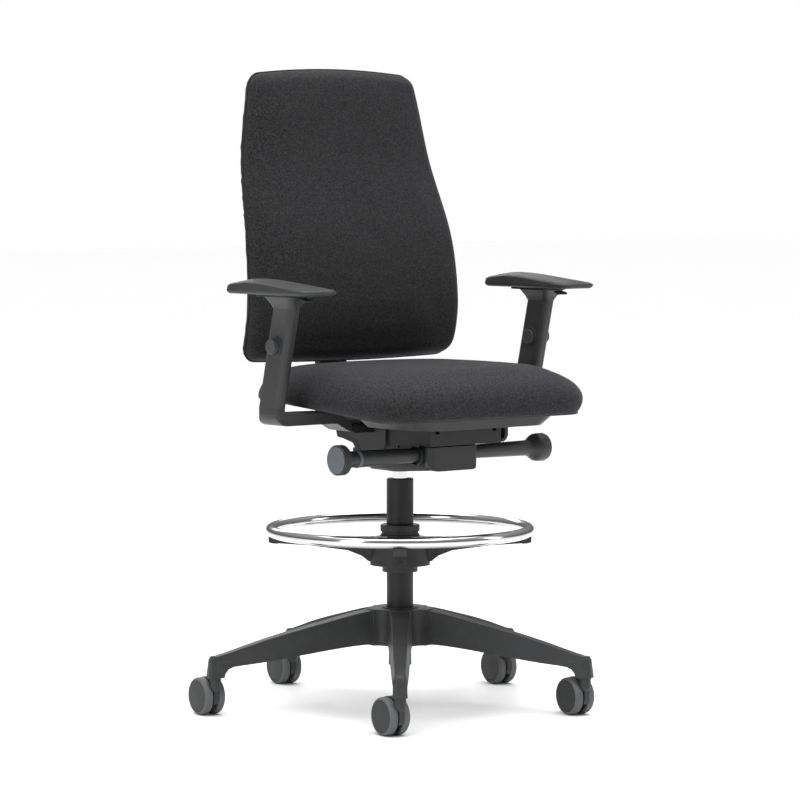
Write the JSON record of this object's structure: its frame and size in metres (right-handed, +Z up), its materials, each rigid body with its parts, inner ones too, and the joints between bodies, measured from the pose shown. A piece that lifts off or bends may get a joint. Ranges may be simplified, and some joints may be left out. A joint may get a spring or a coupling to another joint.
{
  "type": "drafting chair",
  "caption": "Drafting chair: high upholstered back, waterfall seat, adjustable arms, chrome foot ring on a gas-lift column, star base on twin-wheel casters.",
  "frame": {"origin": "on the floor, under the column's axis", "axes": "+Z up; the sitter faces -Y; +X is the sitter's left"},
  "size_m": [0.7229, 0.7381, 1.185],
  "materials": {
    "base_plastic": "fine spark-eroded texture",
    "column_paint": "fine textured powder coat",
    "guide_plastic": "plain moulded",
    "steel": "turned and drawn steel",
    "ring_chrome": "polished chrome plate",
    "moulded_plastic": "matt moulded",
    "cylinder_chrome": "hard chrome, polished",
    "housing_paint": "matt black e-coat",
    "lever_plastic": "fine texture",
    "accent_plastic": "blue-grey, satin",
    "knob_plastic": "ribbed, matt",
    "pan_plastic": "matt moulded",
    "seat_fabric": "woven wool-look cloth, anthracite",
    "shell_plastic": "fine texture",
    "back_fabric": "woven wool-look cloth, anthracite",
    "arm_plastic": "fine texture",
    "button_plastic": "satin",
    "pad_soft": "soft-touch, fine grain",
    "caster_plastic": "matt moulded",
    "wheel_plastic": "satin",
    "wheel_tread": "soft grey tread"
  },
  "bodies": {
    "base": {"star_base": "base_plastic", "column_tube": "column_paint", "column_guide_bush": "guide_plastic", "thrust_bearing": "steel"},
    "foot_ring": {"foot_ring_tube": "ring_chrome", "foot_ring_hub": "moulded_plastic"},
    "ring_collar": {"foot_ring_collar": "moulded_plastic"},
    "gas_rod": {"piston_rod": "steel"},
    "chassis": {"gas_cylinder": "cylinder_chrome", "mechanism_housing": "housing_paint", "nose_cover": "moulded_plastic", "pivot_pins": "steel", "tilt_spring": "steel"},
    "valve": {"valve_pin": "steel"},
    "height_lever": {"height_lever": "lever_plastic", "lever_ring": "accent_plastic"},
    "tension_knob": {"tension_knob": "knob_plastic", "tension_knob_cap": "accent_plastic"},
    "tilt_lock": {"tilt_lock_lever": "lever_plastic"},
    "seat_carrier": {"seat_carrier": "housing_paint", "carrier_side_covers": "moulded_plastic"},
    "seat": {"seat_pan": "pan_plastic", "seat_slide_rails": "steel", "seat_cushion": "seat_fabric"},
    "depth_lever": {"seat_depth_lever": "moulded_plastic"},
    "back_carrier": {"back_carrier": "housing_paint"},
    "back": {"back_shell": "shell_plastic", "back_cushion": "back_fabric"},
    "caster_1": {"caster_housing_1": "caster_plastic", "caster_pins_1": "steel"},
    "wheels_1": {"wheel_cores_1": "wheel_plastic", "wheel_tyres_1": "wheel_tread"},
    "caster_2": {"caster_housing_2": "caster_plastic", "caster_pins_2": "steel"},
    "wheels_2": {"wheel_cores_2": "wheel_plastic", "wheel_tyres_2": "wheel_tread"},
    "caster_3": {"caster_housing_3": "caster_plastic", "caster_pins_3": "steel"},
    "wheels_3": {"wheel_cores_3": "wheel_plastic", "wheel_tyres_3": "wheel_tread"},
    "caster_4": {"caster_housing_4": "caster_plastic", "caster_pins_4": "steel"},
    "wheels_4": {"wheel_cores_4": "wheel_plastic", "wheel_tyres_4": "wheel_tread"},
    "caster_5": {"caster_housing_5": "caster_plastic", "caster_pins_5": "steel"},
    "wheels_5": {"wheel_cores_5": "wheel_plastic", "wheel_tyres_5": "wheel_tread"},
    "arm_base_left": {"arm_bracket_left": "arm_plastic"},
    "arm_left": {"arm_sleeve_left": "arm_plastic"},
    "arm_button_left": {"arm_button_left": "button_plastic"},
    "pad_base_left": {"pad_base_left": "moulded_plastic"},
    "pad_left": {"arm_pad_left": "pad_soft"},
    "pad_release_left": {"pad_release_left": "moulded_plastic"},
    "arm_base_right": {"arm_bracket_right": "arm_plastic"},
    "arm_right": {"arm_sleeve_right": "arm_plastic"},
    "arm_button_right": {"arm_button_right": "button_plastic"},
    "pad_base_right": {"pad_base_right": "moulded_plastic"},
    "pad_right": {"arm_pad_right": "pad_soft"},
    "pad_release_right": {"pad_release_right": "moulded_plastic"}
  },
  "joints": [
    {"name": "caster_swivel_1", "type": "hinge", "parent": "base", "child": "caster_1", "pos_m": [-0.22619, -0.27439, 0.083], "axis": [0, 0, 1], "continuous": true},
    {"name": "wheel_spin_1", "type": "hinge", "parent": "caster_1", "child": "wheels_1", "pos_m": [-0.22323, -0.24454, 0.0345], "axis": [0.9951, -0.0985, 0], "continuous": true},
    {"name": "caster_swivel_2", "type": "hinge", "parent": "base", "child": "caster_2", "pos_m": [0.19106, -0.29991, 0.083], "axis": [0, 0, 1], "continuous": true},
    {"name": "wheel_spin_2", "type": "hinge", "parent": "caster_2", "child": "wheels_2", "pos_m": [0.19402, -0.27006, 0.0345], "axis": [0.9951, -0.0985, 0], "continuous": true},
    {"name": "caster_swivel_3", "type": "hinge", "parent": "base", "child": "caster_3", "pos_m": [0.34427, 0.08904, 0.083], "axis": [0, 0, 1], "continuous": true},
    {"name": "wheel_spin_3", "type": "hinge", "parent": "caster_3", "child": "wheels_3", "pos_m": [0.34723, 0.11889, 0.0345], "axis": [0.9951, -0.0985, 0], "continuous": true},
    {"name": "caster_swivel_4", "type": "hinge", "parent": "base", "child": "caster_4", "pos_m": [0.02171, 0.35494, 0.083], "axis": [0, 0, 1], "continuous": true},
    {"name": "wheel_spin_4", "type": "hinge", "parent": "caster_4", "child": "wheels_4", "pos_m": [0.02466, 0.38479, 0.0345], "axis": [0.9951, -0.0985, 0], "continuous": true},
    {"name": "caster_swivel_5", "type": "hinge", "parent": "base", "child": "caster_5", "pos_m": [-0.33086, 0.13033, 0.083], "axis": [0, 0, 1], "continuous": true},
    {"name": "wheel_spin_5", "type": "hinge", "parent": "caster_5", "child": "wheels_5", "pos_m": [-0.3279, 0.16018, 0.0345], "axis": [0.9951, -0.0985, 0], "continuous": true},
    {"name": "foot_ring_height", "type": "slide", "parent": "base", "child": "foot_ring", "axis": [0, 0, 1], "range_m": [-0.055, 0.08]},
    {"name": "ring_collar_twist", "type": "hinge", "parent": "foot_ring", "child": "ring_collar", "pos_m": [0, 0, 0.33], "axis": [0, 0, 1], "range_deg": [0, 60]},
    {"name": "seat_swivel", "type": "hinge", "parent": "base", "child": "gas_rod", "pos_m": [0, 0, 0.093], "axis": [0, 0, 1], "continuous": true},
    {"name": "seat_lift", "type": "slide", "parent": "gas_rod", "child": "chassis", "axis": [0, 0, 1], "range_m": [0, 0.2]},
    {"name": "valve_press", "type": "slide", "parent": "chassis", "child": "valve", "axis": [0, 0, 1], "range_m": [-0.00525, 0]},
    {"name": "height_lever_lift", "type": "hinge", "parent": "chassis", "child": "height_lever", "pos_m": [-0.05, -0.122, 0.481], "axis": [0, 1, 0], "range_deg": [0, 6], "stiffness_Nm_per_rad": 3},
    {"name": "tension_knob_turn", "type": "hinge", "parent": "height_lever", "child": "tension_knob", "pos_m": [-0.2, -0.122, 0.481], "axis": [-1, 0, 0], "range_deg": [0, 1800]},
    {"name": "tilt_lock_lift", "type": "hinge", "parent": "chassis", "child": "tilt_lock", "pos_m": [0.05, -0.122, 0.481], "axis": [0, -1, 0], "range_deg": [0, 7]},
    {"name": "back_tilt", "type": "hinge", "parent": "chassis", "child": "back_carrier", "pos_m": [0, 0.045, 0.469], "axis": [-1, 0, 0], "range_deg": [0, 20]},
    {"name": "seat_tilt", "type": "hinge", "parent": "chassis", "child": "seat_carrier", "pos_m": [0, -0.085, 0.507], "axis": [-1, 0, 0], "range_deg": [0, 7]},
    {"name": "seat_depth", "type": "slide", "parent": "seat_carrier", "child": "seat", "axis": [0, -1, 0], "range_m": [0, 0.06]},
    {"name": "depth_lever_pull", "type": "hinge", "parent": "seat", "child": "depth_lever", "pos_m": [0.0965, -0.169, 0.5305], "axis": [0, -1, 0], "range_deg": [0, 15], "stiffness_Nm_per_rad": 0.4},
    {"name": "back_height", "type": "slide", "parent": "back_carrier", "child": "back", "axis": [0, 0, 1], "range_m": [0, 0.07]},
    {"name": "arm_width_left", "type": "slide", "parent": "seat_carrier", "child": "arm_base_left", "axis": [1, 0, 0], "range_m": [0, 0.025]},
    {"name": "arm_height_left", "type": "slide", "parent": "arm_base_left", "child": "arm_left", "axis": [0, -0.2334, 0.9724], "range_m": [0, 0.1]},
    {"name": "arm_button_press_left", "type": "slide", "parent": "arm_left", "child": "arm_button_left", "axis": [-1, 0, 0], "range_m": [0, 0.004], "stiffness_N_per_m": 600},
    {"name": "pad_swivel_left", "type": "hinge", "parent": "arm_left", "child": "pad_base_left", "pos_m": [0.3035, -0.05281, 0.772], "axis": [0, 0, 1], "range_deg": [-20, 20]},
    {"name": "pad_depth_left", "type": "slide", "parent": "pad_base_left", "child": "pad_left", "axis": [0, -1, 0], "range_m": [-0.02, 0.03]},
    {"name": "pad_release_lift_left", "type": "hinge", "parent": "pad_base_left", "child": "pad_release_left", "pos_m": [0.3035, -0.09681, 0.77], "axis": [-1, 0, 0], "range_deg": [0, 8], "stiffness_Nm_per_rad": 0.2},
    {"name": "arm_width_right", "type": "slide", "parent": "seat_carrier", "child": "arm_base_right", "axis": [-1, 0, 0], "range_m": [0, 0.025]},
    {"name": "arm_height_right", "type": "slide", "parent": "arm_base_right", "child": "arm_right", "axis": [0, -0.2334, 0.9724], "range_m": [0, 0.1]},
    {"name": "arm_button_press_right", "type": "slide", "parent": "arm_right", "child": "arm_button_right", "axis": [1, 0, 0], "range_m": [0, 0.004], "stiffness_N_per_m": 600},
    {"name": "pad_swivel_right", "type": "hinge", "parent": "arm_right", "child": "pad_base_right", "pos_m": [-0.3035, -0.05281, 0.772], "axis": [0, 0, 1], "range_deg": [-20, 20]},
    {"name": "pad_depth_right", "type": "slide", "parent": "pad_base_right", "child": "pad_right", "axis": [0, -1, 0], "range_m": [-0.02, 0.03]},
    {"name": "pad_release_lift_right", "type": "hinge", "parent": "pad_base_right", "child": "pad_release_right", "pos_m": [-0.3035, -0.09681, 0.77], "axis": [-1, 0, 0], "range_deg": [0, 8], "stiffness_Nm_per_rad": 0.2}
  ],
  "couplings": [
    {"joint": "seat_tilt", "follows": "back_tilt", "ratio": 0.35},
    {"joint": "valve_press", "follows": "height_lever_lift", "m_per_rad": -0.05}
  ]
}
